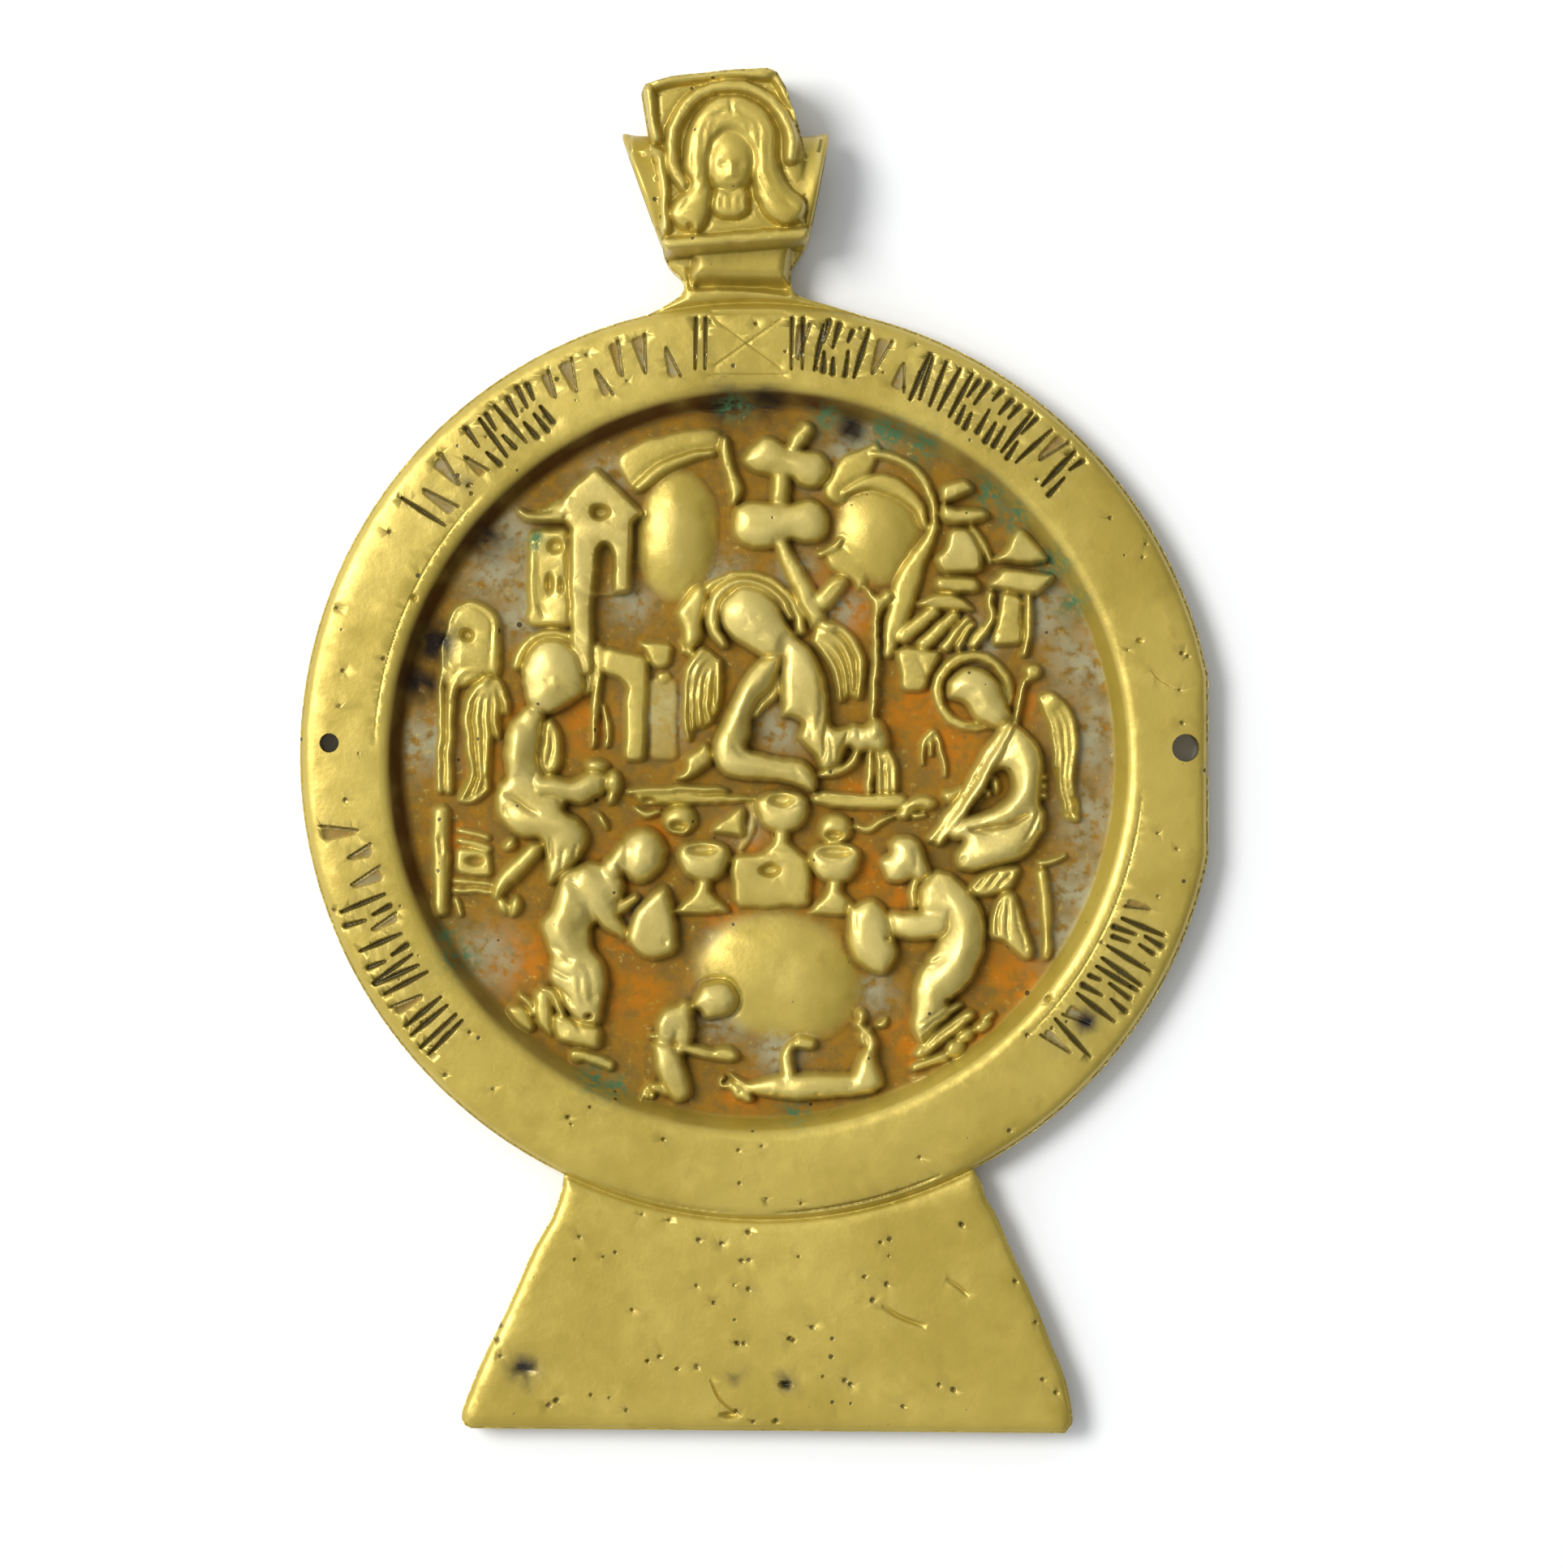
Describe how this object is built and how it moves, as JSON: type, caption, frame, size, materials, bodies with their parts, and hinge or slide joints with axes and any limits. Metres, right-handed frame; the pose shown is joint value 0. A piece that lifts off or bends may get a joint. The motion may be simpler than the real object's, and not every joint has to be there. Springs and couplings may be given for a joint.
{
  "type": "cast icon medallion",
  "caption": "Round brass-coloured icon medallion with a sunken relief field, a trapezoid foot and a pierced hanger head, lying on its flat back.",
  "frame": {"origin": "under the middle of the bounding box, on the plane of the flat back", "axes": "+Z out of the relief face, +Y up the icon from the foot to the hanger, +X to the viewer's right"},
  "size_m": [0.0748, 0.112, 0.0082],
  "materials": {
    "cast_brass": "worn cast brass, polished on the high relief, orange-brown and grey-green patina in the ground"
  },
  "bodies": {
    "root": {"icon_casting": "cast_brass"}
  },
  "joints": []
}
